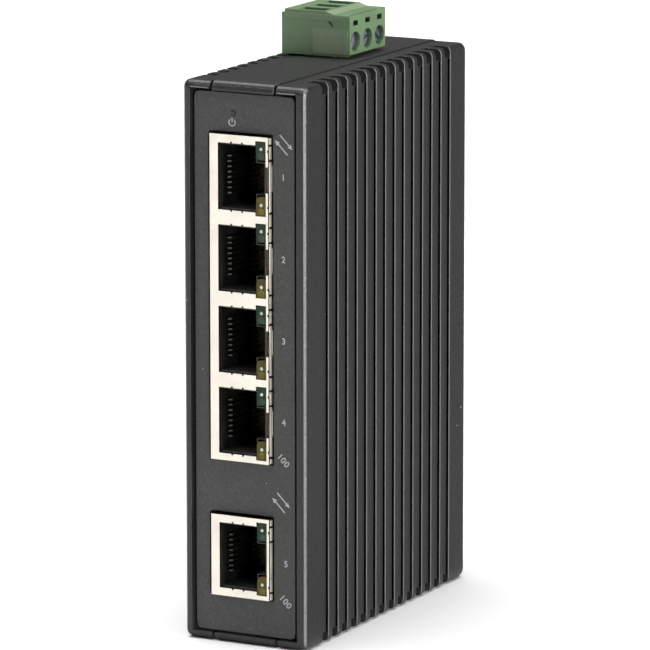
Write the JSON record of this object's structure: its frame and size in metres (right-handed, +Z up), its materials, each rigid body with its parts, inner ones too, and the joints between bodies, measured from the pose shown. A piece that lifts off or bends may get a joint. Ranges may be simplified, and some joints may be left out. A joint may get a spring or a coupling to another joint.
{
  "type": "network switch",
  "caption": "Slim upright Ethernet switch with a column of shielded modular jacks, ribbed vented side shells, a green pluggable screw terminal on top and a rail clip behind.",
  "frame": {"origin": "centre of the bounding box in X and Y, on the flat underside of the case", "axes": "+Z up, +X to the right seen from the jacks, -Y out of the jack front, +Y towards the mounting rail"},
  "size_m": [0.0264, 0.0758, 0.1182],
  "materials": {
    "shell": "fine-textured charcoal moulding",
    "faceplate": "fine-textured charcoal moulding, slightly lighter",
    "nickel": "bright nickel-plated folded sheet",
    "jack_plastic": "black glass-filled nylon",
    "gold": "gold-plated phosphor bronze wire",
    "green_lens": "unlit tinted lens",
    "yellow_lens": "unlit tinted lens",
    "clear_lens": "clear light pipe",
    "terminal": "satin green polyamide",
    "zinc": "zinc-plated steel",
    "contact_brass": "tinned brass strip",
    "board": "green solder mask on glass laminate",
    "chip": "moulded resin",
    "ferrite": "dark grey ferrite",
    "can": "satin can",
    "clip": "black glass-filled nylon"
  },
  "bodies": {
    "switch": {"left_shell": "shell", "right_shell": "shell", "centre_frame": "shell", "front_faceplate": "faceplate", "power_light_pipe": "clear_lens", "jack_shield_quad": "nickel", "jack_insert_quad": "jack_plastic", "jack_shield_single": "nickel", "jack_insert_single": "jack_plastic", "contact_comb_1": "gold", "led_yellow_1": "yellow_lens", "led_green_1": "green_lens", "contact_comb_2": "gold", "led_yellow_2": "yellow_lens", "led_green_2": "green_lens", "contact_comb_3": "gold", "led_yellow_3": "yellow_lens", "led_green_3": "green_lens", "contact_comb_4": "gold", "led_yellow_4": "yellow_lens", "led_green_4": "green_lens", "contact_comb_5": "gold", "led_yellow_5": "yellow_lens", "led_green_5": "green_lens", "main_board": "board", "board_screw_1": "zinc", "board_screw_2": "zinc", "board_screw_3": "zinc", "switch_chip": "chip", "memory_chip": "chip", "regulator_chip": "chip", "fuse": "chip", "surge_diode": "chip", "capacitor_1": "can", "capacitor_2": "can", "crystal_can": "can", "power_inductor": "ferrite", "power_header": "terminal", "header_pin_1": "zinc", "header_pin_2": "zinc", "header_pin_3": "zinc", "rail_clip_base": "clip", "latch_spring": "zinc", "clip_screw_1": "zinc", "clip_screw_2": "zinc"},
    "power_plug": {"plug_housing": "terminal", "plug_contact_1": "contact_brass", "plug_contact_2": "contact_brass", "plug_contact_3": "contact_brass"},
    "terminal_screw_1": {"terminal_screw_1": "zinc"},
    "terminal_screw_2": {"terminal_screw_2": "zinc"},
    "terminal_screw_3": {"terminal_screw_3": "zinc"},
    "clamp_cage_1": {"clamp_cage_1": "zinc"},
    "clamp_cage_2": {"clamp_cage_2": "zinc"},
    "clamp_cage_3": {"clamp_cage_3": "zinc"},
    "rail_latch": {"rail_latch": "clip"}
  },
  "joints": [
    {"name": "plug_lift", "type": "slide", "parent": "switch", "child": "power_plug", "axis": [0, 0, 1], "range_m": [0, 0.0125]},
    {"name": "screw_1_turn", "type": "hinge", "parent": "power_plug", "child": "terminal_screw_1", "pos_m": [-0.00355, 0.00092, 0.1124], "axis": [-1, 0, 0], "range_deg": [0, 1800]},
    {"name": "cage_1_rise", "type": "slide", "parent": "power_plug", "child": "clamp_cage_1", "axis": [1, 0, 0], "range_m": [0, 0.0025]},
    {"name": "screw_2_turn", "type": "hinge", "parent": "power_plug", "child": "terminal_screw_2", "pos_m": [-0.00355, 0.006, 0.1124], "axis": [-1, 0, 0], "range_deg": [0, 1800]},
    {"name": "cage_2_rise", "type": "slide", "parent": "power_plug", "child": "clamp_cage_2", "axis": [1, 0, 0], "range_m": [0, 0.0025]},
    {"name": "screw_3_turn", "type": "hinge", "parent": "power_plug", "child": "terminal_screw_3", "pos_m": [-0.00355, 0.01108, 0.1124], "axis": [-1, 0, 0], "range_deg": [0, 1800]},
    {"name": "cage_3_rise", "type": "slide", "parent": "power_plug", "child": "clamp_cage_3", "axis": [1, 0, 0], "range_m": [0, 0.0025]},
    {"name": "latch_pull", "type": "slide", "parent": "switch", "child": "rail_latch", "axis": [0, 0, -1], "range_m": [0, 0.0035], "stiffness_N_per_m": 400, "springref_m": -0.004, "deforming": ["latch_spring"]}
  ],
  "couplings": [
    {"joint": "screw_1_turn", "follows": "cage_1_rise", "rad_per_m": 12566},
    {"joint": "screw_2_turn", "follows": "cage_2_rise", "rad_per_m": 12566},
    {"joint": "screw_3_turn", "follows": "cage_3_rise", "rad_per_m": 12566}
  ]
}
